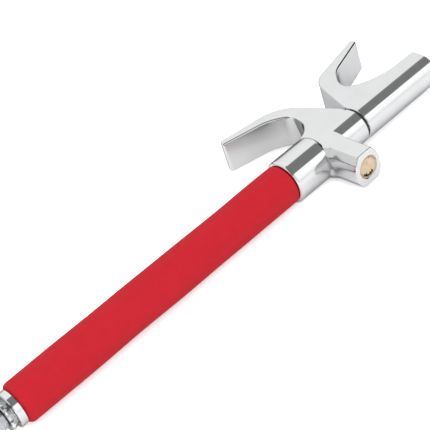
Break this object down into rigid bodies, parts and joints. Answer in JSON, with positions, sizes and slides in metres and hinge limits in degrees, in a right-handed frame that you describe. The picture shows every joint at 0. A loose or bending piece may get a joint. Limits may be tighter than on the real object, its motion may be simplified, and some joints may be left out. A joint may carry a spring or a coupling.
{
  "type": "steering wheel lock",
  "caption": "Telescoping double-hook steering wheel bar lock: foam-gripped handle with a hammer end, chromed hooks and a side lock whose pawl drops into a grooved rod.",
  "frame": {"origin": "on the bar's axis, midway in the gap between the two castings when closed", "axes": "+X along the bar from the handle to the rear hook; +Y the way both hooks stand out; +Z square to the hooks' flats"},
  "size_m": [0.5136, 0.1338, 0.0418],
  "materials": {
    "chrome": "polished chrome plate",
    "chrome_knurl": "chromed knurling",
    "hardened_steel": "hardened and ground",
    "tube_steel": "drawn steel",
    "rod_steel": "turned and zinc plated",
    "spring_steel": "dark oiled",
    "spring_wire": "bright wire",
    "red_foam": "closed-cell foam skin",
    "black_rubber": "matt",
    "nylon": "natural nylon",
    "bronze": "oil-soaked sintered bronze",
    "brass": "machined face",
    "plug_brass": "machined face",
    "wafer_brass": "stamped",
    "cam_zinc": "die cast"
  },
  "bodies": {
    "handle": {"front_hook_body": "chrome", "handle_tube": "tube_steel", "foam_grip": "red_foam", "end_cap": "chrome", "end_cap_pin": "spring_steel", "knurled_collar": "chrome_knurl", "hammer_tip": "hardened_steel", "tube_pin": "spring_steel", "travel_buffer": "black_rubber", "front_guide_bush": "bronze", "rear_guide_bush": "bronze", "bumper_ring": "black_rubber", "lock_barrel": "brass", "barrel_pin": "spring_steel"},
    "slider": {"rod_slider": "nylon", "slider_ring": "black_rubber"},
    "rod": {"locking_rod": "rod_steel", "slider_washer": "tube_steel", "slider_clip": "spring_steel", "rear_hook_body": "chrome", "rod_pin": "spring_steel"},
    "plug": {"lock_plug": "plug_brass", "wafers": "wafer_brass", "wafer_springs": "spring_wire", "plug_clip": "spring_steel", "cam_sleeve": "cam_zinc"},
    "pawl": {"locking_pawl": "hardened_steel", "follower_pin": "hardened_steel", "pawl_spring": "spring_wire"}
  },
  "joints": [
    {"name": "rod_slide", "type": "slide", "parent": "handle", "child": "slider", "axis": [1, 0, 0], "range_m": [0, 0.232]},
    {"name": "rod_turn", "type": "hinge", "parent": "slider", "child": "rod", "pos_m": [0, 0, 0], "axis": [1, 0, 0], "continuous": true},
    {"name": "plug_turn", "type": "hinge", "parent": "handle", "child": "plug", "pos_m": [-0.0406, -0.04, 0], "axis": [0, 1, 0], "range_deg": [0, 90]},
    {"name": "pawl_slide", "type": "slide", "parent": "handle", "child": "pawl", "axis": [0, 1, 0], "range_m": [0, 0.00292], "deforming": ["pawl_spring"]}
  ],
  "couplings": [
    {"joint": "pawl_slide", "follows": "plug_turn", "m_per_rad": 0.0018462}
  ]
}
